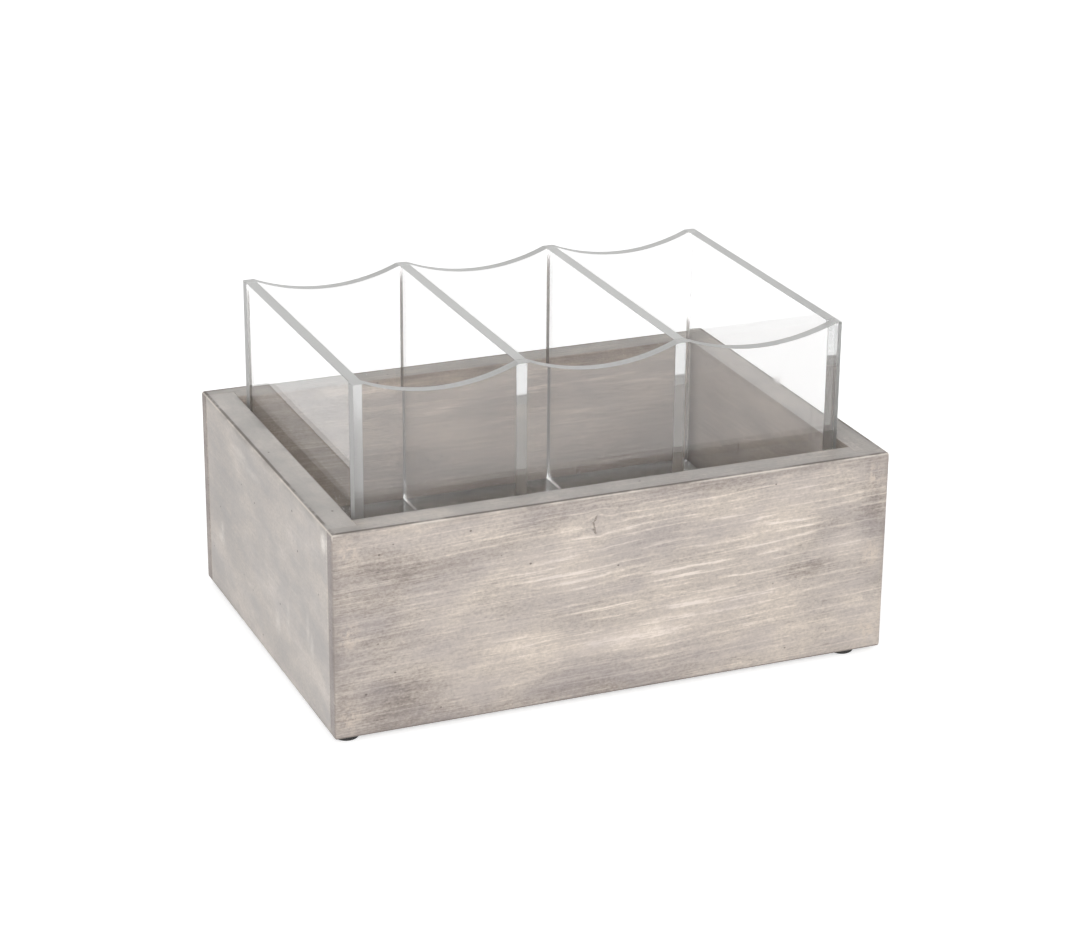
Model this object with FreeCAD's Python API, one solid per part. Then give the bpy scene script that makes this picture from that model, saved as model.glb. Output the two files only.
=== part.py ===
import FreeCAD, Part
import os

# Flatware caddy: a timber box on four bumper feet, with a clear acrylic
# tray of bins standing loose inside it. Millimetres, +Z up, front towards -Y.
# The origin is on the table, under the middle of the box.

# Timber box
box_width = 305.0
box_depth = 220.0
board_height = 110.0
board_thickness = 16.0
lip_thickness = 8.0        # left on the front and rear boards beside each rebate
outer_arris_radius = 1.5
inner_arris_radius = 0.8

# Floor panel, held in grooves
floor_thickness = 6.0
floor_top_height = 35.5    # above the underside of the boards
groove_depth = 5.0
groove_end_clearance = 0.5

# Brads driven through the lips into the ends of the side boards
brad_diameter = 1.2
brad_head_diameter = 2.2
brad_head_thickness = 0.8
brad_length = 25.0
brad_set_depth = 1.5       # head below the face, under filler
brad_rows = 3
brad_edge_distance = 15.0  # from the top and bottom edges of the boards

# Bumper feet, stuck on the lower edges of the front and rear boards
foot_diameter = 13.0
foot_height = 2.5
foot_edge_radius = 1.5
foot_inset_left = 8.5      # foot centre from the left end of the box
foot_inset_right = 19.0    # foot centre from the right end of the box

# Clear insert
bin_count = 3
insert_height = 141.5
sheet_thickness = 6.0
scallop_depth = 8.0
front_scallop_overrun = 3.0  # the last front scallop runs on over the right wall
insert_side_clearance = 3.75 # from the left and right boards, on each side
insert_end_clearance = 5.0   # from the front and rear boards, at each end
insert_rest_clearance = 0.3  # from the floor panel
insert_shift_x = -0.5        # the insert stands loose, a little left of the middle

# Places worked out from the sizes above
half_width = box_width / 2
half_depth = box_depth / 2
inner_half_width = half_width - board_thickness
inner_half_depth = half_depth - board_thickness
board_bottom = foot_height
board_top = board_bottom + board_height
floor_top = board_bottom + floor_top_height
floor_bottom = floor_top - floor_thickness

insert_left = -inner_half_width + insert_side_clearance + insert_shift_x
insert_right = inner_half_width - insert_side_clearance + insert_shift_x
insert_front = -inner_half_depth + insert_end_clearance
insert_rear = inner_half_depth - insert_end_clearance
bins_total_width = insert_right - insert_left - (bin_count + 1) * sheet_thickness
bin_width = bins_total_width / bin_count
insert_bottom = floor_top + insert_rest_clearance
insert_top = insert_bottom + insert_height
base_top = insert_bottom + sheet_thickness


def block(low, high):
    """A box between two opposite corners."""
    size = [high[i] - low[i] for i in range(3)]
    return Part.makeBox(size[0], size[1], size[2], FreeCAD.Vector(*low))


def save(name, shape):
    """Write one sub-part as parts/NAME.step."""
    shape.exportStep(os.path.join("parts", name + ".step"))
    print(name, len(shape.Solids), "solid(s)", round(shape.Volume / 1000, 2), "cm3")


def top_inner_edges(shape):
    """The edges where the top of the box frame meets its inside faces."""
    found = []
    for edge in shape.Edges:
        box = edge.BoundBox
        on_top = box.ZMin > board_top - 0.01
        inside = max(-box.XMin, box.XMax) < inner_half_width + 0.01
        inside = inside and max(-box.YMin, box.YMax) < inner_half_depth + 0.01
        if on_top and inside:
            found.append(edge)
    return found


def box_frame():
    """The four boards' common outline, with every worn outer arris rounded."""
    outer = block((-half_width, -half_depth, board_bottom), (half_width, half_depth, board_top))
    outer = outer.makeFillet(outer_arris_radius, outer.Edges)
    hollow = block(
        (-inner_half_width, -inner_half_depth, board_bottom - 1),
        (inner_half_width, inner_half_depth, board_top + 1),
    )
    frame = outer.cut(hollow)
    return frame.makeFillet(inner_arris_radius, top_inner_edges(frame))


def brad(x, y, z, inward):
    """One brad along Y. inward is +1 from the front face and -1 from the rear face."""
    direction = FreeCAD.Vector(0, inward, 0)
    head = Part.makeCylinder(
        brad_head_diameter / 2, brad_head_thickness, FreeCAD.Vector(x, y, z), direction
    )
    shank = Part.makeCylinder(brad_diameter / 2, brad_length, FreeCAD.Vector(x, y, z), direction)
    return head.fuse(shank).removeSplitter()


def all_brads():
    """Rows of brads at the four corners of the box."""
    brads = []
    first_z = board_bottom + brad_edge_distance
    row_step = (board_height - 2 * brad_edge_distance) / (brad_rows - 1)
    brad_x = half_width - board_thickness / 2
    brad_y = half_depth - brad_set_depth
    for side in (-1, 1):
        for end in (-1, 1):
            for row in range(brad_rows):
                brads.append(brad(side * brad_x, end * brad_y, first_z + row * row_step, -end))
    return brads


def end_board(frame, end):
    """The front board (end -1) or the rear board (end +1), rebated at both ends."""
    low_y, high_y = sorted((end * half_depth, end * inner_half_depth))
    board = frame.common(
        block((-half_width, low_y, board_bottom), (half_width, high_y, board_top))
    )
    rebate_low, rebate_high = sorted((end * (half_depth - lip_thickness), end * inner_half_depth))
    for side in (-1, 1):
        low_x, high_x = sorted((side * inner_half_width, side * half_width))
        board = board.cut(
            block((low_x, rebate_low, board_bottom), (high_x, rebate_high, board_top))
        )
    groove_low, groove_high = sorted(
        (end * (inner_half_depth + groove_depth), end * inner_half_depth)
    )
    return board.cut(
        block(
            (-inner_half_width, groove_low, floor_bottom),
            (inner_half_width, groove_high, floor_top),
        )
    )


def side_board(frame, side):
    """The left board (side -1) or the right board (side +1), between the lips."""
    low_x, high_x = sorted((side * half_width, side * inner_half_width))
    reach = half_depth - lip_thickness
    board = frame.common(block((low_x, -reach, board_bottom), (high_x, reach, board_top)))
    groove_low, groove_high = sorted(
        (side * (inner_half_width + groove_depth), side * inner_half_width)
    )
    return board.cut(block((groove_low, -reach, floor_bottom), (groove_high, reach, floor_top)))


def floor_panel():
    """The plywood floor, whose edges stop just short of the bottoms of the grooves."""
    tongue = groove_depth - groove_end_clearance
    reach_x = inner_half_width + tongue
    reach_y = inner_half_depth + tongue
    return block((-reach_x, -reach_y, floor_bottom), (reach_x, reach_y, floor_top))


def foot(x, y):
    """A round bumper with a soft lower edge."""
    radius = foot_diameter / 2
    flat = radius - foot_edge_radius
    bend = foot_edge_radius * (1 - 0.5 ** 0.5)
    centre_bottom = FreeCAD.Vector(0, 0, 0)
    flat_end = FreeCAD.Vector(flat, 0, 0)
    bend_middle = FreeCAD.Vector(radius - bend, 0, bend)
    bend_end = FreeCAD.Vector(radius, 0, foot_edge_radius)
    rim_top = FreeCAD.Vector(radius, 0, foot_height)
    centre_top = FreeCAD.Vector(0, 0, foot_height)
    outline = Part.Wire([
        Part.LineSegment(centre_bottom, flat_end).toShape(),
        Part.Arc(flat_end, bend_middle, bend_end).toShape(),
        Part.LineSegment(bend_end, rim_top).toShape(),
        Part.LineSegment(rim_top, centre_top).toShape(),
        Part.LineSegment(centre_top, centre_bottom).toShape(),
    ])
    bumper = Part.Face(outline).revolve(centre_bottom, FreeCAD.Vector(0, 0, 1), 360)
    bumper.translate(FreeCAD.Vector(x, y, 0))
    return bumper


def scalloped_sheet(low_y, last_overrun):
    """A full-width sheet whose top edge dips in an arc over each bin."""
    def point(x, z):
        return FreeCAD.Vector(x, low_y, z)

    edges = []
    here = point(insert_left, insert_top)
    for index in range(bin_count):
        start_x = insert_left + sheet_thickness + index * (bin_width + sheet_thickness)
        end_x = start_x + bin_width
        if index == bin_count - 1:
            end_x += last_overrun
        start = point(start_x, insert_top)
        dip = point((start_x + end_x) / 2, insert_top - scallop_depth)
        end = point(end_x, insert_top)
        edges.append(Part.LineSegment(here, start).toShape())
        edges.append(Part.Arc(start, dip, end).toShape())
        here = end
    corners = [
        here,
        point(insert_right, insert_top),
        point(insert_right, insert_bottom),
        point(insert_left, insert_bottom),
        point(insert_left, insert_top),
    ]
    for start, end in zip(corners, corners[1:]):
        edges.append(Part.LineSegment(start, end).toShape())
    return Part.Face(Part.Wire(edges)).extrude(FreeCAD.Vector(0, sheet_thickness, 0))


def upright(left_x, bottom_z):
    """A wall or divider that stands front to back between the two scalloped sheets."""
    return block(
        (left_x, insert_front + sheet_thickness, bottom_z),
        (left_x + sheet_thickness, insert_rear - sheet_thickness, insert_top),
    )


def insert_base():
    """The base sheet, level with the lower edges of the sheets around it."""
    return block(
        (insert_left + sheet_thickness, insert_front + sheet_thickness, insert_bottom),
        (insert_right - sheet_thickness, insert_rear - sheet_thickness, base_top),
    )


os.makedirs("parts", exist_ok=True)

# Timber box
frame = box_frame()
brads = Part.makeCompound(all_brads())
save("front_board", end_board(frame, -1).cut(brads))
save("rear_board", end_board(frame, 1).cut(brads))
save("left_board", side_board(frame, -1).cut(brads))
save("right_board", side_board(frame, 1).cut(brads))
save("floor_panel", floor_panel())
save("corner_brads", brads)

# Feet
foot_left_x = -half_width + foot_inset_left
foot_right_x = half_width - foot_inset_right
foot_y = half_depth - board_thickness / 2
save("foot_front_left", foot(foot_left_x, -foot_y))
save("foot_front_right", foot(foot_right_x, -foot_y))
save("foot_rear_left", foot(foot_left_x, foot_y))
save("foot_rear_right", foot(foot_right_x, foot_y))

# Clear insert
save("insert_front_sheet", scalloped_sheet(insert_front, front_scallop_overrun))
save("insert_rear_sheet", scalloped_sheet(insert_rear - sheet_thickness, 0.0))
save("insert_left_wall", upright(insert_left, insert_bottom))
save("insert_right_wall", upright(insert_right - sheet_thickness, insert_bottom))
for index in range(1, bin_count):
    divider_left = insert_left + index * (bin_width + sheet_thickness)
    save("insert_divider_%d" % index, upright(divider_left, base_top))
save("insert_base", insert_base())
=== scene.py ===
import math

import bpy
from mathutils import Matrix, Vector


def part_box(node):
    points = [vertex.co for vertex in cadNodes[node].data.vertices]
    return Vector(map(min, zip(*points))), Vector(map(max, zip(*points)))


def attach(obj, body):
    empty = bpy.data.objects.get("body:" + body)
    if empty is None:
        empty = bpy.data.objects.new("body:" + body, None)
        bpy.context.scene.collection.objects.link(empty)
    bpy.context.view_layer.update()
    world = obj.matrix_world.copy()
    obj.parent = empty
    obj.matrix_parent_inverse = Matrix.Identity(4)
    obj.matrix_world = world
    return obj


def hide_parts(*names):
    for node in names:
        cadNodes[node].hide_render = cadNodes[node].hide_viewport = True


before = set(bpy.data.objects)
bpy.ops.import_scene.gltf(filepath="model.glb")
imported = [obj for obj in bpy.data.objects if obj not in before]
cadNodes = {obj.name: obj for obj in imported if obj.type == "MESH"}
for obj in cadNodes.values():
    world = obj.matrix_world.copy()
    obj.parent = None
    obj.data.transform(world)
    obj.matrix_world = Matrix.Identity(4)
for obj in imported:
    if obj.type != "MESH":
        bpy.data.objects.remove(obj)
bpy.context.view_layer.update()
mm = 0.001
print("frame loaded")


def linearColour(hexText):
    # sRGB hex to the linear values that the shaders take
    parts = [int(hexText[i:i + 2], 16) / 255 for i in (1, 3, 5)]
    return [p / 12.92 if p <= 0.04045 else ((p + 0.055) / 1.055) ** 2.4 for p in parts] + [1.0]


def addNode(tree, kind, inputs=None, **settings):
    # one shader node, its settings, and a value or a link for each input
    made = tree.nodes.new("ShaderNode" + kind)
    for name, value in settings.items():
        setattr(made, name, value)
    for name, value in (inputs or {}).items():
        socket = made.inputs[name]
        if isinstance(value, bpy.types.NodeSocket):
            tree.links.new(value, socket)
        else:
            socket.default_value = value
    return made


def newMaterial(name):
    made = bpy.data.materials.new(name)
    made.use_nodes = True
    made.node_tree.nodes.clear()
    return made, made.node_tree


def corners(node):
    # a CAD node's lowest and highest corner in millimetres
    low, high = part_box(node)
    return [v / mm for v in low], [v / mm for v in high]


def selectOnly(piece):
    bpy.ops.object.select_all(action="DESELECT")
    piece.select_set(True)
    bpy.context.view_layer.objects.active = piece


def startBlock(name, low, high):
    # a cube added at its size and place, given by two corners in millimetres
    bpy.ops.object.select_all(action="DESELECT")
    centre = [(a + b) / 2 * mm for a, b in zip(low, high)]
    size = [(b - a) * mm for a, b in zip(low, high)]
    bpy.ops.mesh.primitive_cube_add(size=1, location=centre, scale=size)
    piece = bpy.context.active_object
    piece.name = name
    piece.data.name = name
    bpy.ops.object.transform_apply(location=True, rotation=True, scale=True)
    return piece


def applyModifier(piece, kind, **settings):
    selectOnly(piece)
    modifier = piece.modifiers.new(kind.lower(), kind)
    for name, value in settings.items():
        setattr(modifier, name, value)
    bpy.ops.object.modifier_apply(modifier=modifier.name)


def carve(piece, cutter):
    # takes the cutter's shape out of the piece, then removes the cutter
    applyModifier(piece, "BOOLEAN", operation="DIFFERENCE", solver="EXACT", object=cutter)
    bpy.data.objects.remove(cutter)


def weighEdges(piece, weightOf):
    # weightOf gives an edge's share of the bevel width, from its two ends in millimetres
    mesh = piece.data
    weights = mesh.attributes.new("bevel_weight_edge", "FLOAT", "EDGE")
    for edge in mesh.edges:
        a, b = [mesh.vertices[i].co / mm for i in edge.vertices]
        weights.data[edge.index].value = weightOf(a, b)


def giveMaterials(piece, materials, indexOf=None):
    # the piece's materials, and which of them each face takes, by its place and normal
    piece.data.materials.clear()
    for material in materials:
        piece.data.materials.append(material)
    if indexOf:
        for face in piece.data.polygons:
            face.material_index = indexOf(face.center / mm, face.normal)


def settle(piece, body, node):
    # the finished piece moves with its body and stands for its CAD node
    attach(piece, body)
    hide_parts(node)


# camera at the photograph's angle
cameraView = {
    "place": (-565.76, -1358.12, 662.06),  # mm
    "turn": (68.6534, -0.4392, -22.5153),  # degrees
    "lens": 98.487,                        # mm, on a sensor 36 mm wide
}
cameraData = bpy.data.cameras.new("camera")
cameraData.sensor_fit = "HORIZONTAL"
cameraData.sensor_width = 36
cameraData.lens = cameraView["lens"]
cameraData.clip_start = 0.05
cameraData.clip_end = 50
camera = bpy.data.objects.new("camera", cameraData)
bpy.context.scene.collection.objects.link(camera)
camera.location = [v * mm for v in cameraView["place"]]
camera.rotation_euler = [math.radians(v) for v in cameraView["turn"]]
bpy.context.scene.camera = camera
bpy.context.scene.view_settings.view_transform = "Standard"
print("camera set")

# light has to cross many sheets and run along inside them
lightPaths = {"max_bounces": 40, "glossy_bounces": 32, "transmission_bounces": 40,
              "blur_glossy": 0.0}
for pathName, setting in lightPaths.items():
    setattr(bpy.context.scene.cycles, pathName, setting)


studio = {
    "floorSize": 9.0,         # m
    "floorColour": "#e6e6e6",
    "floorGlow": 0.55,        # seen only by the camera
    "floorGlassGlow": 0.50,   # seen only through glass
    "frontGlossGlow": 1.0,    # seen only in gloss, in front of the box
    "rearGlossGlow": 0.45,    # and behind it
    "skyLow": 1.15,           # strength near the horizon
    "skyHigh": 0.55,          # strength overhead
    "lamps": {                # watts, size in m, place in m
        "keyLamp": (36.0, 1.3, (-1.35, -2.1, 1.25)),
        "fillLamp": (10.0, 1.6, (1.9, -1.9, 1.3)),
        "rearLamp": (9.0, 1.6, (0.7, 2.2, 1.2)),
    },
    "aim": (0, 0, 0.08),
}


def whitePaperSweep():
    # matt white paper: takes the object's soft shadow, and is white elsewhere
    material, tree = newMaterial("whitePaperSweep")
    path = addNode(tree, "LightPath")
    coords = addNode(tree, "TexCoord")
    split = addNode(tree, "SeparateXYZ", {0: coords.outputs["Object"]})
    glossGlow = addNode(tree, "MapRange", {
        "Value": split.outputs["Y"], "From Min": -0.3, "From Max": 0.2,
        "To Min": studio["frontGlossGlow"], "To Max": studio["rearGlossGlow"]})
    strength = addNode(tree, "Math", {0: path.outputs["Is Camera Ray"], 1: studio["floorGlow"]},
                       operation="MULTIPLY")
    for ray, glow in (("Is Transmission Ray", studio["floorGlassGlow"]),
                      ("Is Glossy Ray", glossGlow.outputs[0])):
        share = addNode(tree, "Math", {0: path.outputs[ray], 1: glow}, operation="MULTIPLY")
        strength = addNode(tree, "Math", {0: strength.outputs[0], 1: share.outputs[0]},
                           operation="MAXIMUM")
    glow = addNode(tree, "Emission", {"Strength": strength.outputs[0]})
    paper = addNode(tree, "BsdfDiffuse", {"Color": linearColour(studio["floorColour"])})
    both = addNode(tree, "AddShader", {0: paper.outputs[0], 1: glow.outputs[0]})
    addNode(tree, "OutputMaterial", {"Surface": both.outputs[0]})
    return material


def studioSky():
    # white to the camera, and dimmer overhead for everything that it lights
    world = bpy.data.worlds.new("studioSky")
    bpy.context.scene.world = world
    world.use_nodes = True
    tree = world.node_tree
    tree.nodes.clear()
    coords = addNode(tree, "TexCoord")
    split = addNode(tree, "SeparateXYZ", {0: coords.outputs["Generated"]})
    strength = addNode(tree, "MapRange", {
        "Value": split.outputs["Z"], "From Min": 0.05, "From Max": 0.75,
        "To Min": studio["skyLow"], "To Max": studio["skyHigh"]})
    path = addNode(tree, "LightPath")
    strength = addNode(tree, "Mix", {
        0: path.outputs["Is Camera Ray"], 2: strength.outputs[0], 3: 1.0})
    sky = addNode(tree, "Background", {"Strength": strength.outputs[0]})
    addNode(tree, "OutputWorld", {"Surface": sky.outputs[0]})


def softLamp(name, power, size, place):
    lamp = bpy.data.lights.new(name, "AREA")
    lamp.energy = power
    lamp.size = size
    made = bpy.data.objects.new(name, lamp)
    bpy.context.scene.collection.objects.link(made)
    made.location = place
    facing = Vector(studio["aim"]) - Vector(place)
    made.rotation_euler = facing.to_track_quat("-Z", "Y").to_euler()


studioSky()
for lampName, (power, size, place) in studio["lamps"].items():
    softLamp(lampName, power, size, place)
bpy.ops.object.select_all(action="DESELECT")
bpy.ops.mesh.primitive_plane_add(size=studio["floorSize"], location=(0, 0, 0))
studioFloor = bpy.context.active_object
studioFloor.name = "studioFloor"
giveMaterials(studioFloor, [whitePaperSweep()])
print("studio set")


# Greywashed pine. All places and sizes are millimetres. A board's own axes are
# its length, its thickness and its height above the table.
frontLow, frontHigh = corners("front_board")
leftLow, leftHigh = corners("left_board")
pine = {
    "halfSize": (frontHigh[0], -frontLow[1], (frontHigh[2] - frontLow[2]) / 2),
    "innerHalf": (-leftHigh[0], -frontHigh[1]),
    "bottom": frontLow[2],
    "midHeight": (frontLow[2] + frontHigh[2]) / 2,
    "top": frontHigh[2],
    "tones": [(0.0, "#776e68"), (0.26, "#9d938c"), (0.50, "#bab0a7"), (0.74, "#d1c5b9"),
              (1.0, "#e8dcd2")],
    "endTone": "#8d8584",
    # the inside tone is partly painted shade, and the stain tone also colours painted shade
    "insideWashAndShadeTone": "#8f857b",
    # painted shade on the rim
    "rimShadeTone": "#a9a6a2",
    "stainAndShadeTone": "#766d67",
    # partly a painted highlight on the top arrises
    "rubbedHighlightTone": "#e6ded4",
    "lineTone": "#6b625c",
    "fillerTone": "#d2c4b6",
    "paleMarkTone": "#f1ebe4",
    "knotTone": "#6f655d",
    "speckTone": "#564d47",
    "fillerX": 144.5,                   # over the brads
    "fillerHeights": (14.0, 57.5, 101.0),
    "fillerReach": (6.0, 8.0),
    "fillerShare": 0.7,
    "insideEnd": (0.3, 0.8),            # depth into a board where its inside tones end
    "deepHeights": (36.0, 80.0),        # painted shade: inside faces darken from the upper to the lower
    "grimeReach": 5.0,                  # from an arris
    "topLine": (1.7, 2.6),              # the dark line's end, from the top outer arris
    "rubbedHighlightReach": (0.3, 1.2),
    "darkenedArrisReach": (0.1, 1.0),
    "speckSpacing": (8.0, 7.0, 6.0),
    "speckSize": 0.12,                  # share of the spacing
}
rings = {
    "wander": (0, 4, 3),                # how far the grain's line sways
    "patchShift": 0.5,                  # unevenness, in ring pitches
    "streakShift": 0.35,
    "sharpness": 6.0,                   # higher is thinner
    "everywhere": 0.42,                 # strength outside a board's ring zone
    "strength": 0.46,
    "knotPush": 0.4,
}
# each wash signal: the length, depth and height of its features, its detail, and
# the part of the noise's range that it uses
washSignals = {
    "patch": ((64, 50, 28), 3.0, 0.37, 0.63),
    "cloud": ((34, 24, 16), 3.0, 0.38, 0.64),
    "dash": ((26, 20, 4.0), 2.0, 0.40, 0.62),
    "streak": ((48, 2.2, 1.3), 2.0, 0.32, 0.68),
    "line": ((55, 2.0, 0.8), 1.0, 0.575, 0.64),
    "scratch": ((8, 1.5, 0.8), 1.0, 0.60, 0.66),
    "fibre": ((3.4, 0.8, 0.6), 2.0, 0.25, 0.75),
    "mottle": ((1.5, 1.3, 1.1), 3.0, 0.32, 0.68),
}
# what each signal adds to the wash, and its middle value
washShares = {
    "patch": (0.26, 0.5), "streak": (0.09, 0.5), "line": (0.15, 0.08),
    "scratch": (-0.12, 0.05), "fibre": (0.14, 0.5), "mottle": (0.25, 0.5),
}
# Each board's look. turned: its length runs front to back. tilt: of the grain, in
# degrees. pith: the rings' centre, in depth and height. shift: its place in the noise.
# streaks: strength of the grain. wash: added paleness. cool and evenCool: shares of the
# cool tone, in clouds and all over. inside: share of the dark inside tone, partly painted shade.
# deep: share of the painted shade low on the inside faces.
# ringZone, pale, dark and the pale marks: length, height, reach along, reach up, and amount.
# knot: length, height, half its width and half its height.
boardLooks = {
    "frontBoard": {
        "turned": False, "tilt": 2.0, "pith": (120.0, -60.0), "ringPitch": 2.3, "shift": 0.0,
        "streaks": 1.0, "wash": 0.08, "cool": 0.42, "evenCool": 0.0, "coolTone": "#a69f9f",
        "inside": 0.0, "deep": 0.0,
        "ringZone": (40, 70, 110, 36, 0.8),
        "knot": (-11.9, 97.0, 2.8, 4.6),
        "pale": [(-48, 40, 26, 6, 0.14), (-20, 31, 34, 6, 0.18), (14, 33, 30, 8, 0.20),
                 (30, 50, 30, 9, 0.12), (70, 77, 34, 6, 0.18), (130, 60, 14, 8, 0.22),
                 (-25, 97.5, 8, 3, 0.25)],
        "dark": [(103, 51, 20, 6, 0.22), (-107, 93, 40, 10, 0.14), (-108, 28, 28, 10, 0.22),
                 (44, 52, 14, 3, 0.12), (-30, 6, 110, 12, 0.24), (-105, 16, 46, 12, 0.14),
                 (40, 108, 100, 7, 0.26), (148, 66, 8, 50, 0.20), (-125, 60, 30, 60, 0.22),
                 (128, 66, 26, 40, 0.10), (-148, 60, 6, 50, 0.14)],
        "paleMarks": [],
    },
    "rearBoard": {
        "turned": False, "tilt": -1.0, "pith": (-90.0, 60.0), "ringPitch": 2.8, "shift": 310.0,
        "streaks": 1.1, "wash": -0.03, "cool": 0.45, "evenCool": 0.0, "coolTone": "#a29c99",
        "inside": 0.12, "deep": 0.25,
        "ringZone": (0, 90, 200, 20, 0.6),
        "knot": (70.0, 40.0, 4.0, 5.0),
        "pale": [(-60, 108, 60, 4, 0.2)],
        "dark": [],
        "paleMarks": [],
    },
    "leftBoard": {
        "turned": True, "tilt": 0.8, "pith": (170.0, 20.0), "ringPitch": 3.6, "shift": 620.0,
        "streaks": 0.28, "wash": 0.24, "cool": 0.35, "evenCool": 0.38, "coolTone": "#b2b0b0",
        # this board's inside faces away from the lamps: its inside and deep shares are painted
        # shade
        "inside": 1.0, "deep": 0.8,
        "ringZone": (0, 60, 100, 60, 0.6),
        "knot": (400.0, 57.0, 3.0, 3.0),    # past the board's end: it has none
        "pale": [(-30, 38, 40, 18, 0.10)],
        "dark": [(60, 62, 26, 22, 0.16), (80, 90, 30, 16, 0.12), (-55, 10, 40, 12, 0.10)],
        "paleMarks": [(-97.5, 103.5, 4.0, 5.0, 0.85), (79, 38, 6, 3, 0.35), (77, 44, 3, 4, 0.3),
                   (40, 101, 13, 2.5, 0.22), (20, 97, 14, 2.5, 0.22), (-20, 29, 4, 6, 0.3),
                   (-38, 40, 2.5, 9, 0.2), (-70, 47, 2.5, 8, 0.25), (-76, 39, 2.5, 6, 0.3)],
    },
    "rightBoard": {
        "turned": True, "tilt": -1.0, "pith": (-120.0, -45.0), "ringPitch": 2.9, "shift": 930.0,
        "streaks": 0.6, "wash": 0.0, "cool": 0.5, "evenCool": 0.0, "coolTone": "#a29c99",
        "inside": 0.32, "deep": 0.2,
        "ringZone": (0, 60, 100, 60, 0.6),
        "knot": (30.0, 70.0, 3.4, 4.0),
        "pale": [],
        "dark": [(-72, 114, 30, 10, 0.40)],
        "paleMarks": [],
    },
}


def spotShare(tree, own, spot, sign=1):
    # a soft oval of one board's face: full in the middle, nothing at 1.6 times its reach
    x, z, reachX, reachZ, amount = spot
    away = addNode(tree, "VectorMath", {0: own, 1: (-x, 0, -z)}, operation="ADD")
    away = addNode(tree, "VectorMath", {0: away.outputs[0], 1: (1 / reachX, 0, 1 / reachZ)},
                   operation="MULTIPLY")
    away = addNode(tree, "VectorMath", {0: away.outputs[0]}, operation="LENGTH")
    return addNode(tree, "MapRange", {
        "Value": away.outputs["Value"], "From Max": 1.6, "To Min": sign * amount,
        "To Max": 0.0}, interpolation_type="SMOOTHSTEP").outputs[0]


def arrisReaches(tree, world):
    # distance from the nearest outer arris (the middle one of three distances), and
    # from the rim's inner arris, with the depth into the wall from the inside
    centred = addNode(tree, "VectorMath", {0: world, 1: (0, 0, -pine["midHeight"])},
                      operation="ADD")
    centred = addNode(tree, "VectorMath", {0: centred.outputs[0]}, operation="ABSOLUTE")
    inset = addNode(tree, "VectorMath", {0: pine["halfSize"], 1: centred.outputs[0]},
                    operation="SUBTRACT")
    inset = addNode(tree, "SeparateXYZ", {0: inset.outputs[0]})
    lesser = addNode(tree, "Math", {0: inset.outputs["X"], 1: inset.outputs["Y"]},
                     operation="MINIMUM")
    greater = addNode(tree, "Math", {0: inset.outputs["X"], 1: inset.outputs["Y"]},
                      operation="MAXIMUM")
    greater = addNode(tree, "Math", {0: greater.outputs[0], 1: inset.outputs["Z"]},
                      operation="MINIMUM")
    outer = addNode(tree, "Math", {0: lesser.outputs[0], 1: greater.outputs[0]},
                    operation="MAXIMUM").outputs[0]
    sides = addNode(tree, "SeparateXYZ", {0: centred.outputs[0]})
    heights = addNode(tree, "SeparateXYZ", {0: world})
    overX = addNode(tree, "Math", {0: sides.outputs["X"], 1: pine["innerHalf"][0]},
                    operation="SUBTRACT")
    overY = addNode(tree, "Math", {0: sides.outputs["Y"], 1: pine["innerHalf"][1]},
                    operation="SUBTRACT")
    wallDepth = addNode(tree, "Math", {0: overX.outputs[0], 1: overY.outputs[0]},
                        operation="MAXIMUM").outputs[0]
    belowTop = addNode(tree, "Math", {0: pine["top"], 1: heights.outputs["Z"]},
                       operation="SUBTRACT")
    inner = addNode(tree, "Math", {0: wallDepth, 1: belowTop.outputs[0]},
                    operation="MAXIMUM").outputs[0]
    return outer, inner, wallDepth


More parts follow.
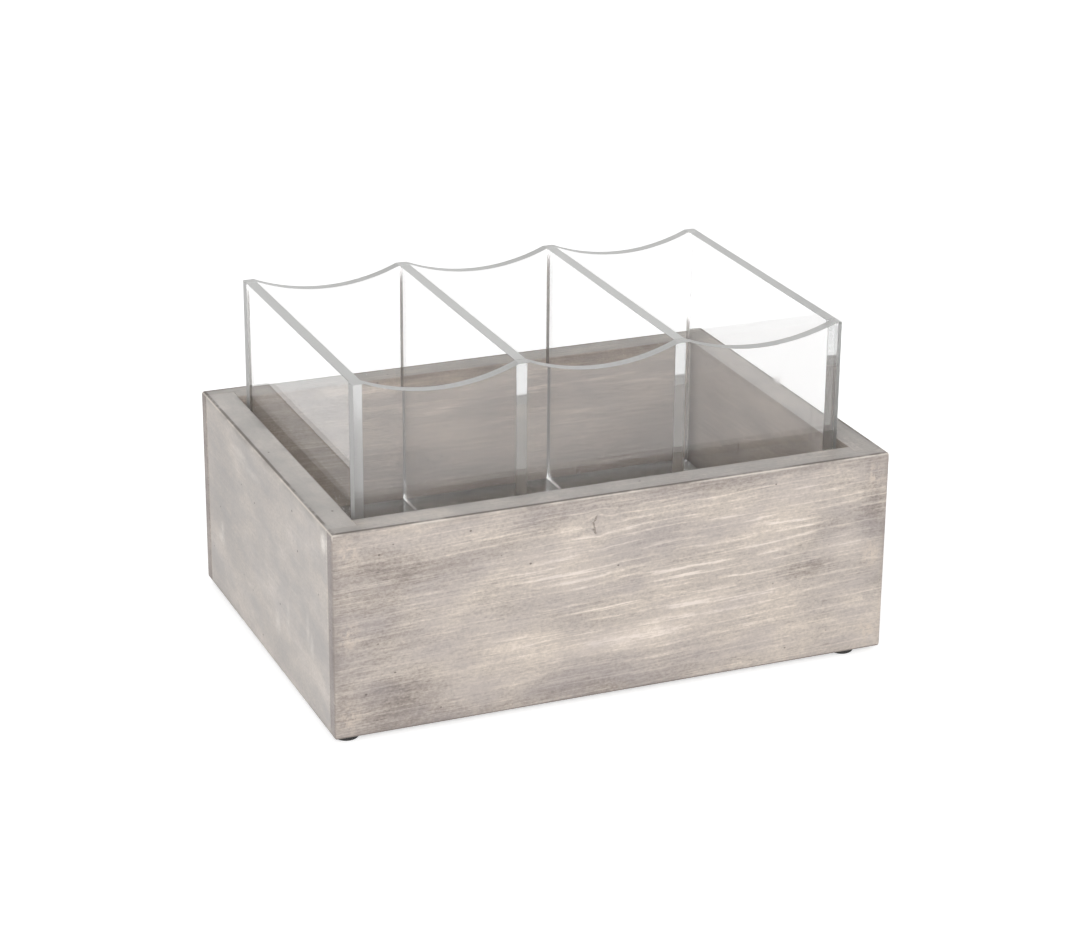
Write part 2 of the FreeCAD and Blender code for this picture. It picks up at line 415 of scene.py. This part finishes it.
def washedPine(name, look):
    # Pine with a thin grey wash rubbed into it and a satin wax: pale lines where the
    # wash fills the rings, cooler patches where it lies thicker, arrises rubbed light
    # in places, partly as a painted highlight, and stained dark beside them, end grain darker.
    material, tree = newMaterial(name)
    coords = addNode(tree, "TexCoord")
    world = addNode(tree, "Mapping", {
        "Vector": coords.outputs["Object"], "Scale": (1000, 1000, 1000)}).outputs[0]
    turn = math.radians(-90) if look["turned"] else 0.0
    own = addNode(tree, "Mapping", {"Vector": world, "Rotation": (0, 0, turn)}).outputs[0]

    # the grain's line, pushed aside by a knot as water is by a post
    knotX, knotZ, knotWide, knotHigh = look["knot"]
    fromKnot = addNode(tree, "VectorMath", {0: own, 1: (-knotX, 0, -knotZ)}, operation="ADD")
    fromKnot = addNode(tree, "VectorMath", {
        0: fromKnot.outputs[0], 1: (1 / knotWide, 0, 1 / knotHigh)}, operation="MULTIPLY")
    knotReach = addNode(tree, "VectorMath", {0: fromKnot.outputs[0]},
                        operation="LENGTH").outputs["Value"]
    beyond = addNode(tree, "Math", {0: knotReach, 1: 1.0}, operation="MAXIMUM")
    push = addNode(tree, "Math", {0: beyond.outputs[0], 1: -2.0}, operation="POWER")
    push = addNode(tree, "VectorMath", {0: fromKnot.outputs[0], "Scale": push.outputs[0]},
                   operation="SCALE")
    push = addNode(tree, "VectorMath", {
        0: push.outputs[0], 1: (0, 0, -rings["knotPush"] * knotHigh)}, operation="MULTIPLY")
    slow = addNode(tree, "VectorMath", {0: own, 1: (0.009, 0.02, 0.02)}, operation="MULTIPLY")
    slow = addNode(tree, "TexNoise", {"Vector": slow.outputs[0], "W": look["shift"],
                   "Scale": 1.0, "Detail": 1.0}, noise_dimensions="4D")
    sway = addNode(tree, "VectorMath", {0: slow.outputs["Color"], 1: (-0.5, -0.5, -0.5)},
                   operation="ADD")
    sway = addNode(tree, "VectorMath", {
        0: sway.outputs[0], 1: rings["wander"], 2: push.outputs[0]}, operation="MULTIPLY_ADD")
    tilted = addNode(tree, "Mapping", {
        "Vector": own, "Rotation": (0, math.radians(look["tilt"]), 0)})
    grain = addNode(tree, "VectorMath", {0: tilted.outputs[0], 1: sway.outputs[0]},
                    operation="ADD").outputs[0]

    signals = {}
    for key, (size, detail, low, high) in washSignals.items():
        spread = addNode(tree, "VectorMath", {0: grain, 1: [1 / v for v in size]},
                         operation="MULTIPLY")
        noise = addNode(tree, "TexNoise", {
            "Vector": spread.outputs[0], "W": look["shift"] + size[0], "Scale": 1.0,
            "Detail": detail, "Roughness": 0.55}, noise_dimensions="4D")
        signals[key] = addNode(tree, "MapRange", {
            "Value": noise.outputs[0], "From Min": low, "From Max": high}).outputs[0]

    # growth rings about the pith, pale and thin, shown in dashes
    fromPith = addNode(tree, "VectorMath", {
        0: grain, 1: (0, 1, 1), 2: (0, -look["pith"][0], -look["pith"][1])},
        operation="MULTIPLY_ADD")
    radius = addNode(tree, "VectorMath", {0: fromPith.outputs[0]}, operation="LENGTH")
    pitch = look["ringPitch"]
    uneven = addNode(tree, "Math", {
        0: signals["patch"], 1: rings["patchShift"] * pitch, 2: radius.outputs["Value"]},
        operation="MULTIPLY_ADD")
    uneven = addNode(tree, "Math", {
        0: signals["streak"], 1: rings["streakShift"] * pitch, 2: uneven.outputs[0]},
        operation="MULTIPLY_ADD")
    phase = addNode(tree, "Math", {0: uneven.outputs[0], 1: 2 * math.pi / pitch},
                    operation="MULTIPLY")
    ring = addNode(tree, "Math", {0: phase.outputs[0]}, operation="SINE")
    ring = addNode(tree, "Math", {0: ring.outputs[0], 1: 0.5, 2: 0.5}, operation="MULTIPLY_ADD")
    ring = addNode(tree, "Math", {0: ring.outputs[0], 1: rings["sharpness"]},
                   operation="POWER")
    ring = addNode(tree, "Math", {0: ring.outputs[0], 1: signals["dash"]},
                   operation="MULTIPLY")
    zone = addNode(tree, "Math", {
        0: spotShare(tree, own, look["ringZone"]), 1: rings["everywhere"]})
    ring = addNode(tree, "Math", {0: ring.outputs[0], 1: zone.outputs[0]},
                   operation="MULTIPLY").outputs[0]

    # how pale the wash is, from 0 to 1
    streaks = look["streaks"]
    level = addNode(tree, "Math", {
        0: ring, 1: rings["strength"] * streaks, 2: 0.5 + look["wash"] - 0.03 * streaks},
        operation="MULTIPLY_ADD").outputs[0]
    for key, (share, middle) in washShares.items():
        if key in ("streak", "line", "scratch"):
            share *= streaks
        centred = addNode(tree, "Math", {0: signals[key], 1: -middle}, operation="ADD")
        level = addNode(tree, "Math", {0: centred.outputs[0], 1: share, 2: level},
                        operation="MULTIPLY_ADD").outputs[0]
    for spots, sign in ((look["pale"], 1), (look["dark"], -1)):
        for spot in spots:
            share = spotShare(tree, grain, spot, sign)
            level = addNode(tree, "Math", {0: share, 1: level}).outputs[0]

    ramp = addNode(tree, "ValToRGB", {"Fac": level})
    stops = ramp.color_ramp.elements
    for at, tone in pine["tones"][1:-1]:
        stops.new(at)
    for stop, (at, tone) in zip(stops, pine["tones"]):
        stop.position = at
        stop.color = linearColour(tone)
    colour = ramp.outputs["Color"]

    # cooler where the wash is thick: the first of the layers, each a share and a tone
    coolShare = addNode(tree, "Math", {
        0: signals["cloud"], 1: look["cool"], 2: look["evenCool"]}, operation="MULTIPLY_ADD")
    layers = [(coolShare.outputs[0], look["coolTone"])]

    # end grain drinks more stain
    geometry = addNode(tree, "NewGeometry")
    facing = addNode(tree, "Mapping", {
        "Vector": geometry.outputs["Normal"], "Rotation": (0, 0, turn)})
    facing = addNode(tree, "SeparateXYZ", {0: facing.outputs[0]})
    endOn = addNode(tree, "Math", {0: facing.outputs["X"]}, operation="ABSOLUTE")
    endShare = addNode(tree, "MapRange", {
        "Value": endOn.outputs[0], "From Min": 0.6, "From Max": 0.95, "To Max": 0.55})
    layers.append((endShare.outputs[0], pine["endTone"]))

    # inside faces have less wash and a darker tone, partly painted shade, and painted shade
    # darkens them downwards
    outer, inner, wallDepth = arrisReaches(tree, world)
    within = addNode(tree, "MapRange", {
        "Value": wallDepth, "From Min": pine["insideEnd"][0], "From Max": pine["insideEnd"][1],
        "To Min": 1.0, "To Max": 0.0}).outputs[0]
    insideWashAndShadeShare = addNode(tree, "Math", {0: within, 1: look["inside"]}, operation="MULTIPLY")
    layers.append((insideWashAndShadeShare.outputs[0], pine["insideWashAndShadeTone"]))
    height = addNode(tree, "SeparateXYZ", {0: world}).outputs["Z"]
    deep = addNode(tree, "MapRange", {
        "Value": height, "From Min": pine["deepHeights"][0],
        "From Max": pine["deepHeights"][1], "To Min": look["deep"], "To Max": 0.0},
        interpolation_type="SMOOTHSTEP")
    deep = addNode(tree, "Math", {0: deep.outputs[0], 1: within}, operation="MULTIPLY")
    layers.append((deep.outputs[0], pine["stainAndShadeTone"]))

    # painted shade: the rim, facing up, takes a darker, greyer tone, as the top gets less of the
    # frontal light
    upward = addNode(tree, "MapRange", {
        "Value": facing.outputs["Z"], "From Min": 0.75, "From Max": 0.95}).outputs[0]
    rimShadeShare = addNode(tree, "MapRange", {
        "Value": signals["cloud"], "To Min": 0.35, "To Max": 0.75})
    rimShadeShare = addNode(tree, "Math", {0: upward, 1: rimShadeShare.outputs[0]},
                       operation="MULTIPLY")
    layers.append((rimShadeShare.outputs[0], pine["rimShadeTone"]))

    # stain gathers towards the arrises, with a thin dark line just inside the top edge
    reach = addNode(tree, "Math", {0: outer, 1: inner}, operation="MINIMUM").outputs[0]
    grime = addNode(tree, "MapRange", {
        "Value": reach, "From Max": pine["grimeReach"], "To Min": 0.40, "To Max": 0.0},
        interpolation_type="SMOOTHSTEP")
    grime = addNode(tree, "Math", {0: grime.outputs[0], 1: signals["cloud"]},
                    operation="MULTIPLY")
    layers.append((grime.outputs[0], pine["stainAndShadeTone"]))
    wear = addNode(tree, "TexNoise", {"Vector": own, "Scale": 0.03, "Detail": 4.0,
                   "Roughness": 0.7})
    lineShare = addNode(tree, "MapRange", {
        "Value": wear.outputs[0], "From Min": 0.36, "From Max": 0.50, "To Max": 0.90})
    lineShare = addNode(tree, "Math", {0: lineShare.outputs[0], 1: upward},
                        operation="MULTIPLY")
    lineShape = addNode(tree, "MapRange", {
        "Value": outer, "From Min": pine["topLine"][0], "From Max": pine["topLine"][1],
        "To Min": 1.0, "To Max": 0.0}, interpolation_type="SMOOTHSTEP")
    lineShare = addNode(tree, "Math", {0: lineShare.outputs[0], 1: lineShape.outputs[0]},
                        operation="MULTIPLY")
    layers.append((lineShare.outputs[0], pine["lineTone"]))

    # arrises pale in stretches near the top: partly rubbed wear, partly a painted highlight
    rubbedHighlight = addNode(tree, "MapRange", {
        "Value": outer, "From Min": pine["rubbedHighlightReach"][0],
        "From Max": pine["rubbedHighlightReach"][1], "To Min": 0.85, "To Max": 0.0},
        interpolation_type="SMOOTHSTEP")
    rubbedHighlightStretch = addNode(tree, "MapRange", {
        "Value": wear.outputs[0], "From Min": 0.62, "From Max": 0.46})
    rubbedHighlight = addNode(tree, "Math", {0: rubbedHighlight.outputs[0], 1: rubbedHighlightStretch.outputs[0]},
                     operation="MULTIPLY")
    notUp = addNode(tree, "Math", {0: 1.0, 1: upward}, operation="SUBTRACT")
    rubbedHighlight = addNode(tree, "Math", {0: rubbedHighlight.outputs[0], 1: notUp.outputs[0]},
                     operation="MULTIPLY")
    nearTop = addNode(tree, "MapRange", {
        "Value": height, "From Min": pine["top"] - 4.0,
        "From Max": pine["top"] - 1.0}).outputs[0]
    rubbedHighlight = addNode(tree, "Math", {0: rubbedHighlight.outputs[0], 1: nearTop}, operation="MULTIPLY")
    layers.append((rubbedHighlight.outputs[0], pine["rubbedHighlightTone"]))

    # painted shade on the downward faces, which the floor below would light; and the arrises
    # below the top, darkened in patches
    undersideShade = addNode(tree, "MapRange", {
        "Value": facing.outputs["Z"], "From Min": -0.05, "From Max": -0.4, "To Max": 0.85})
    layers.append((undersideShade.outputs[0], pine["stainAndShadeTone"]))
    darkenedArris = addNode(tree, "MapRange", {
        "Value": outer, "From Min": pine["darkenedArrisReach"][0],
        "From Max": pine["darkenedArrisReach"][1], "To Min": 0.65, "To Max": 0.0},
        interpolation_type="SMOOTHSTEP")
    darkenedArris = addNode(tree, "Math", {0: darkenedArris.outputs[0], 1: signals["mottle"]},
                      operation="MULTIPLY")
    below = addNode(tree, "Math", {0: 1.0, 1: nearTop}, operation="SUBTRACT")
    darkenedArris = addNode(tree, "Math", {0: darkenedArris.outputs[0], 1: below.outputs[0]},
                      operation="MULTIPLY")
    layers.append((darkenedArris.outputs[0], pine["lineTone"]))

    # filler over the brads, washed unevenly
    if not look["turned"]:
        flat = addNode(tree, "VectorMath", {0: world}, operation="ABSOLUTE").outputs[0]
        blot = addNode(tree, "TexNoise", {"Vector": own, "Scale": 0.35, "Detail": 4.0,
                       "Roughness": 0.75})
        blot = addNode(tree, "MapRange", {
            "Value": blot.outputs[0], "From Min": 0.44, "From Max": 0.58})
        outward = addNode(tree, "Math", {0: facing.outputs["Y"]}, operation="ABSOLUTE")
        for bradHeight in pine["fillerHeights"]:
            spot = (pine["fillerX"], bradHeight, *pine["fillerReach"], pine["fillerShare"])
            share = spotShare(tree, flat, spot)
            share = addNode(tree, "Math", {0: share, 1: blot.outputs[0]}, operation="MULTIPLY")
            share = addNode(tree, "Math", {0: share.outputs[0], 1: outward.outputs[0]},
                            operation="MULTIPLY")
            layers.append((share.outputs[0], pine["fillerTone"]))

    # pale marks, ragged at their edges
    ragged = addNode(tree, "Math", {0: signals["mottle"], 1: 0.8, 2: 0.6},
                     operation="MULTIPLY_ADD")
    for spot in look["paleMarks"]:
        share = addNode(tree, "Math", {0: spotShare(tree, own, spot), 1: ragged.outputs[0]},
                        operation="MULTIPLY")
        layers.append((share.outputs[0], pine["paleMarkTone"]))

    # the knot: a dark, ragged crack down one side
    crack = addNode(tree, "Math", {0: signals["mottle"], 1: 0.5, 2: knotReach},
                    operation="MULTIPLY_ADD")
    crack = addNode(tree, "Math", {0: crack.outputs[0], 1: 1.25}, operation="SUBTRACT")
    crack = addNode(tree, "Math", {0: crack.outputs[0]}, operation="ABSOLUTE")
    crack = addNode(tree, "MapRange", {
        "Value": crack.outputs[0], "From Max": 0.30, "To Min": 0.75, "To Max": 0.0},
        interpolation_type="SMOOTHSTEP")
    side = addNode(tree, "SeparateXYZ", {0: fromKnot.outputs[0]})
    side = addNode(tree, "MapRange", {
        "Value": side.outputs["X"], "From Min": -0.1, "From Max": -0.6})
    crack = addNode(tree, "Math", {0: crack.outputs[0], 1: side.outputs[0]},
                    operation="MULTIPLY")
    layers.append((crack.outputs[0], pine["knotTone"]))

    # small dark specks and pin holes
    spread = addNode(tree, "VectorMath", {0: own, 1: [1 / v for v in pine["speckSpacing"]]},
                     operation="MULTIPLY")
    speck = addNode(tree, "TexVoronoi", {"Vector": spread.outputs[0], "Scale": 1.0})
    speckSize = addNode(tree, "SeparateColor", {0: speck.outputs["Color"]})
    speckSize = addNode(tree, "MapRange", {
        "Value": speckSize.outputs[0], "From Min": 0.45, "From Max": 1.0,
        "To Max": pine["speckSize"]})
    speckShare = addNode(tree, "Math", {0: speckSize.outputs[0], 1: speck.outputs["Distance"]},
                         operation="SUBTRACT")
    speckShare = addNode(tree, "MapRange", {
        "Value": speckShare.outputs[0], "From Max": 0.05, "To Max": 0.75})
    layers.append((speckShare.outputs[0], pine["speckTone"]))

    for share, tone in layers:
        colour = addNode(tree, "Mix", {0: share, 6: colour, 7: linearColour(tone)},
                         data_type="RGBA").outputs[2]

    # raised grain and a satin wax
    relief = addNode(tree, "Math", {0: signals["fibre"], 1: 0.5, 2: ring},
                     operation="MULTIPLY_ADD")
    bump = addNode(tree, "Bump", {"Strength": 0.4, "Distance": 0.00012,
                   "Height": relief.outputs[0]})
    rough = addNode(tree, "MapRange", {"Value": signals["cloud"], "To Min": 0.46,
                    "To Max": 0.64})
    shader = addNode(tree, "BsdfPrincipled", {
        "Base Color": colour, "Roughness": rough.outputs[0], "IOR": 1.47,
        "Normal": bump.outputs[0]})
    addNode(tree, "OutputMaterial", {"Surface": shader.outputs[0]})
    return material


boards = {
    "outerArris": 1.5,                 # bevel radius
    "innerArris": 0.8,
    "jointEdge": 0.25,
    "segments": 4,
    "lip": leftLow[1] - frontLow[1],   # thickness left beside each rebate
    "grooveDepth": 5.0,
    "cutPast": 1.0,                    # how far a cutter runs past what it cuts
}


def boardEdgeWeight(a, b):
    # outer arrises of the box in full, the rim's inner ones about half, joint edges a hair
    near = 0.01
    halfX, halfY = pine["halfSize"][:2]
    innerX, innerY = pine["innerHalf"]
    top, bottom = pine["top"], pine["bottom"]
    tests = [(abs(abs(p.x) - halfX) < near, abs(abs(p.y) - halfY) < near,
              abs(p.z - top) < near or abs(p.z - bottom) < near) for p in (a, b)]
    if sum(1 for first, second in zip(*tests) if first and second) >= 2:
        return 1.0
    onTop = all(abs(p.z - top) < near for p in (a, b))
    onInner = all(abs(abs(p.y) - innerY) < near for p in (a, b))
    onInner = onInner or all(abs(abs(p.x) - innerX) < near for p in (a, b))
    inside = all(abs(p.x) < innerX + 0.1 and abs(p.y) < innerY + 0.1 for p in (a, b))
    if onTop and onInner and inside:
        return boards["innerArris"] / boards["outerArris"]
    return boards["jointEdge"] / boards["outerArris"]


def finishBoard(piece, material, node):
    weighEdges(piece, boardEdgeWeight)
    selectOnly(piece)
    bpy.ops.object.shade_smooth()
    applyModifier(piece, "BEVEL", width=boards["outerArris"] * mm, segments=boards["segments"],
                  limit_method="WEIGHT", offset_type="OFFSET", harden_normals=True)
    giveMaterials(piece, [material])
    settle(piece, "box", node)


def endBoard(name, node):
    # the front or rear board: a plank with its ends rebated and a groove for the floor
    low, high = corners(node)
    inward = 1 if low[1] < 0 else -1
    innerX, innerY = pine["innerHalf"]
    past = boards["cutPast"]
    piece = startBlock(name, low, high)
    for side in (-1, 1):
        ys = sorted((inward * -(pine["halfSize"][1] - boards["lip"]),
                     inward * -(innerY - past)))
        xs = sorted((side * innerX, side * (pine["halfSize"][0] + past)))
        carve(piece, startBlock("cutter", (xs[0], ys[0], low[2] - past),
                                (xs[1], ys[1], high[2] + past)))
    floorLow, floorHigh = corners("floor_panel")
    ys = sorted((inward * -(innerY + boards["grooveDepth"]), inward * -(innerY - past)))
    carve(piece, startBlock("cutter", (-innerX - past, ys[0], floorLow[2]),
                            (innerX + past, ys[1], floorHigh[2])))
    finishBoard(piece, washedPine("greywashedPine_" + name, boardLooks[name]), node)


def sideBoard(name, node):
    # the left or right board, square ended, with the same groove
    low, high = corners(node)
    side = -1 if low[0] < 0 else 1
    innerX = pine["innerHalf"][0]
    past = boards["cutPast"]
    piece = startBlock(name, low, high)
    floorLow, floorHigh = corners("floor_panel")
    xs = sorted((side * (innerX + boards["grooveDepth"]), side * (innerX - past)))
    carve(piece, startBlock("cutter", (xs[0], low[1] - past, floorLow[2]),
                            (xs[1], high[1] + past, floorHigh[2])))
    finishBoard(piece, washedPine("greywashedPine_" + name, boardLooks[name]), node)


endBoard("frontBoard", "front_board")
endBoard("rearBoard", "rear_board")
sideBoard("leftBoard", "left_board")
sideBoard("rightBoard", "right_board")
print("boards made")


def grainedPlywood():
    # thin plywood: flat, fine-grained and far darker than the boards
    material, tree = newMaterial("darkFloorPlywood")
    coords = addNode(tree, "TexCoord")
    place = addNode(tree, "Mapping", {
        "Vector": coords.outputs["Object"], "Scale": (26, 380, 500)})
    grain = addNode(tree, "TexNoise", {"Vector": place.outputs[0], "Scale": 1.0, "Detail": 4.0})
    patches = addNode(tree, "TexNoise", {"Vector": coords.outputs["Object"], "Scale": 22.0,
                      "Detail": 2.0})
    mixed = addNode(tree, "Mix", {0: 0.45, 2: grain.outputs[0], 3: patches.outputs[0]})
    ramp = addNode(tree, "ValToRGB", {"Fac": mixed.outputs[0]})
    ramp.color_ramp.elements[0].position = 0.32
    ramp.color_ramp.elements[0].color = linearColour("#3d3833")
    ramp.color_ramp.elements[1].position = 0.68
    ramp.color_ramp.elements[1].color = linearColour("#655d55")
    bump = addNode(tree, "Bump", {"Strength": 0.3, "Distance": 0.0001,
                   "Height": grain.outputs[0]})
    shader = addNode(tree, "BsdfPrincipled", {
        "Base Color": ramp.outputs["Color"], "Roughness": 0.62, "IOR": 1.47,
        "Normal": bump.outputs[0]})
    addNode(tree, "OutputMaterial", {"Surface": shader.outputs[0]})
    return material


def bumperRubber():
    # moulded rubber: deep matt black with a fine pebble and a little dust
    material, tree = newMaterial("bumperRubber")
    coords = addNode(tree, "TexCoord")
    pebble = addNode(tree, "TexNoise", {"Vector": coords.outputs["Object"], "Scale": 1800.0,
                     "Detail": 3.0})
    dust = addNode(tree, "TexNoise", {"Vector": coords.outputs["Object"], "Scale": 260.0,
                   "Detail": 4.0})
    ramp = addNode(tree, "ValToRGB", {"Fac": dust.outputs[0]})
    ramp.color_ramp.elements[0].position = 0.40
    ramp.color_ramp.elements[0].color = linearColour("#141414")
    ramp.color_ramp.elements[1].position = 0.80
    ramp.color_ramp.elements[1].color = linearColour("#3a3836")
    bump = addNode(tree, "Bump", {"Strength": 0.4, "Distance": 0.00008,
                   "Height": pebble.outputs[0]})
    shader = addNode(tree, "BsdfPrincipled", {
        "Base Color": ramp.outputs["Color"], "Roughness": 0.78, "IOR": 1.52,
        "Normal": bump.outputs[0]})
    addNode(tree, "OutputMaterial", {"Surface": shader.outputs[0]})
    return material


def bradWire():
    # drawn steel wire: bright, with fine drawing lines along it
    material, tree = newMaterial("drawnSteelWire")
    coords = addNode(tree, "TexCoord")
    place = addNode(tree, "Mapping", {
        "Vector": coords.outputs["Object"], "Scale": (4000, 60, 4000)})
    lines = addNode(tree, "TexNoise", {"Vector": place.outputs[0], "Scale": 1.0, "Detail": 2.0})
    rough = addNode(tree, "MapRange", {"Value": lines.outputs[0], "To Min": 0.25, "To Max": 0.5})
    shader = addNode(tree, "BsdfPrincipled", {
        "Base Color": linearColour("#b4b2ae"), "Metallic": 1.0, "Roughness": rough.outputs[0]})
    addNode(tree, "OutputMaterial", {"Surface": shader.outputs[0]})
    return material


giveMaterials(cadNodes["floor_panel"], [grainedPlywood()])
giveMaterials(cadNodes["corner_brads"], [bradWire()])
rubber = bumperRubber()
for footName in ("foot_front_left", "foot_front_right", "foot_rear_left", "foot_rear_right"):
    giveMaterials(cadNodes[footName], [rubber])
print("floor, brads and feet dressed")


# Clear insert: six-millimetre cast acrylic. The polished faces meet with a hair of
# air between them, which is what draws the bright lines along the dividers' edges.
insert = {
    "bodyColour": (0.865, 0.875, 0.875, 1.0),
    "bodyDensity": 1.3,       # per metre
    "airGap": 0.05,           # dividers and walls: the joint shows
    "weld": 0.02,             # base: runs into the sheets, and its joint is clear
    "edgeBevel": 0.15,
    "bevelSegments": 2,
    "bevelAngle": 40,         # degrees: sharper edges than this are bevelled
    "smoothAngle": 20,        # and flatter ones than this are smooth
    "scallopDepth": 8.0,
    "lastOverrun": 3.0,       # of the last front scallop, over the right wall
    "scallopSides": 1440,     # of the round cutter
    "cutterLength": 20.0,     # more than a sheet's thickness
    "cutFaces": {             # tone, clearness and roughness
        "Sawn": ("#dcdcda", 0.45, 0.42),     # top edges and free ends: grey on white
        "Planed": ("#f8f7f6", 0.92, 0.11),   # rear ends of the walls and dividers
        "Smeared": ("#cfcecd", 0.70, 0.32),  # solvent-smeared front end of the left wall
    },
}


def acrylicMaterial(name, surface):
    # the surface and the faint colour that light takes on along a sheet
    material, tree = newMaterial(name)
    shader = surface(tree)
    body = addNode(tree, "VolumeAbsorption", {
        "Color": insert["bodyColour"], "Density": insert["bodyDensity"]})
    addNode(tree, "OutputMaterial", {"Surface": shader.outputs[0], "Volume": body.outputs[0]})
    return material


def polishedFace(tree):
    # cast acrylic as it leaves the mould: mirror smooth, with a few hairline scratches
    coords = addNode(tree, "TexCoord")
    place = addNode(tree, "Mapping", {
        "Vector": coords.outputs["Object"], "Rotation": (0.5, 0.7, 0.3), "Scale": (20, 900, 20)})
    hair = addNode(tree, "TexNoise", {"Vector": place.outputs[0], "Scale": 1.0})
    rough = addNode(tree, "MapRange", {"Value": hair.outputs[0], "From Min": 0.74,
                    "From Max": 0.78, "To Max": 0.2})
    return addNode(tree, "BsdfPrincipled", {
        "Base Color": (1, 1, 1, 1), "Transmission Weight": 1.0, "IOR": 1.49,
        "Roughness": rough.outputs[0]})


def groundFace(tone, clarity, rough):
    # a face that was cut and not polished: part clear, part pale, softly blurred
    def surface(tree):
        coords = addNode(tree, "TexCoord")
        marks = addNode(tree, "TexNoise", {"Vector": coords.outputs["Object"],
                        "Scale": 900.0, "Detail": 3.0})
        bump = addNode(tree, "Bump", {"Strength": 0.4 * rough, "Distance": 0.00005,
                       "Height": marks.outputs[0]})
        return addNode(tree, "BsdfPrincipled", {
            "Base Color": linearColour(tone), "Transmission Weight": clarity, "IOR": 1.49,
            "Roughness": rough, "Normal": bump.outputs[0]})
    return surface


acrylicMaterials = [acrylicMaterial("castAcrylicPolished", polishedFace)]
for finishName, finish in insert["cutFaces"].items():
    acrylicMaterials.append(acrylicMaterial("castAcrylic" + finishName, groundFace(*finish)))
polished, sawn, planed, smeared = range(4)
frontSheetHigh = corners("insert_front_sheet")[1]
insertTop = frontSheetHigh[2]
sheetInside = abs(frontSheetHigh[1])   # the end sheets' inside faces, from the middle


def sheetFinish(centre, normal):
    # which finish a face of a sheet has: its top edge and its free ends are sawn
    onTop = normal.z > 0.7 and centre.z > insertTop - insert["scallopDepth"] - 1
    inEndSheet = abs(centre.y) > sheetInside - 0.1
    freeEnd = abs(normal.x) > 0.7 and inEndSheet
    return sawn if onTop or freeEnd else polished


def uprightFinish(centre, normal):
    # as for a sheet, and the rear end of a wall or divider is planed
    return planed if normal.y > 0.7 else sheetFinish(centre, normal)


def leftWallFinish(centre, normal):
    # this wall's front end is smeared by the solvent
    return smeared if normal.y < -0.7 else uprightFinish(centre, normal)


def finishSheet(piece, node, finishOf=sheetFinish, bevel=insert["edgeBevel"]):
    applyModifier(piece, "BEVEL", width=bevel * mm, segments=insert["bevelSegments"],
                  limit_method="ANGLE", angle_limit=math.radians(insert["bevelAngle"]),
                  offset_type="OFFSET")
    selectOnly(piece)
    bpy.ops.object.shade_smooth_by_angle(angle=math.radians(insert["smoothAngle"]))
    giveMaterials(piece, acrylicMaterials, finishOf)
    settle(piece, "insert", node)


def scallopedSheet(name, node, overrun):
    # a full-width sheet, its top edge cut by a round cutter over each bin
    low, high = corners(node)
    piece = startBlock(name, low, high)
    walls = [corners(wall) for wall in ("insert_left_wall", "insert_divider_1",
                                        "insert_divider_2", "insert_right_wall")]
    lastBin = len(walls) - 2
    for index in range(lastBin + 1):
        startX = walls[index][1][0]
        endX = walls[index + 1][0][0] + (overrun if index == lastBin else 0)
        chord, depth = endX - startX, insert["scallopDepth"]
        radius = (chord ** 2 / 4 + depth ** 2) / (2 * depth)
        middle = ((startX + endX) / 2, (low[1] + high[1]) / 2, high[2] - depth + radius)
        bpy.ops.object.select_all(action="DESELECT")
        bpy.ops.mesh.primitive_cylinder_add(
            vertices=insert["scallopSides"], radius=radius * mm,
            depth=insert["cutterLength"] * mm, location=[v * mm for v in middle],
            rotation=(math.radians(90), 0, 0))
        carve(piece, bpy.context.active_object)
    finishSheet(piece, node)


def plainSheet(name, node, changes, finishOf=sheetFinish):
    # a wall, divider or the base: each change takes an axis, an end and how much is
    # left off there, or with a minus how far it runs on into its neighbour
    low, high = corners(node)
    for axis, end, change in changes:
        if end < 0:
            low[axis] += change
        else:
            high[axis] -= change
    welded = all(change < 0 for axis, end, change in changes)
    bevel = insert["weld"] if welded else insert["edgeBevel"]
    finishSheet(startBlock(name, low, high), node, finishOf, bevel)


scallopedSheet("insertFrontSheet", "insert_front_sheet", insert["lastOverrun"])
scallopedSheet("insertRearSheet", "insert_rear_sheet", 0.0)
gap, weld = insert["airGap"], -insert["weld"]
bothEnds = [(1, -1, gap), (1, 1, gap)]
plainSheet("insertLeftWall", "insert_left_wall", bothEnds, leftWallFinish)
plainSheet("insertRightWall", "insert_right_wall", bothEnds, uprightFinish)
aboveBase = bothEnds + [(2, -1, gap)]
plainSheet("insertDividerOne", "insert_divider_1", aboveBase, uprightFinish)
plainSheet("insertDividerTwo", "insert_divider_2", aboveBase, uprightFinish)
baseEdges = [(1, -1, weld), (1, 1, weld), (0, -1, weld), (0, 1, weld)]
plainSheet("insertBase", "insert_base", baseEdges)
print("insert made")
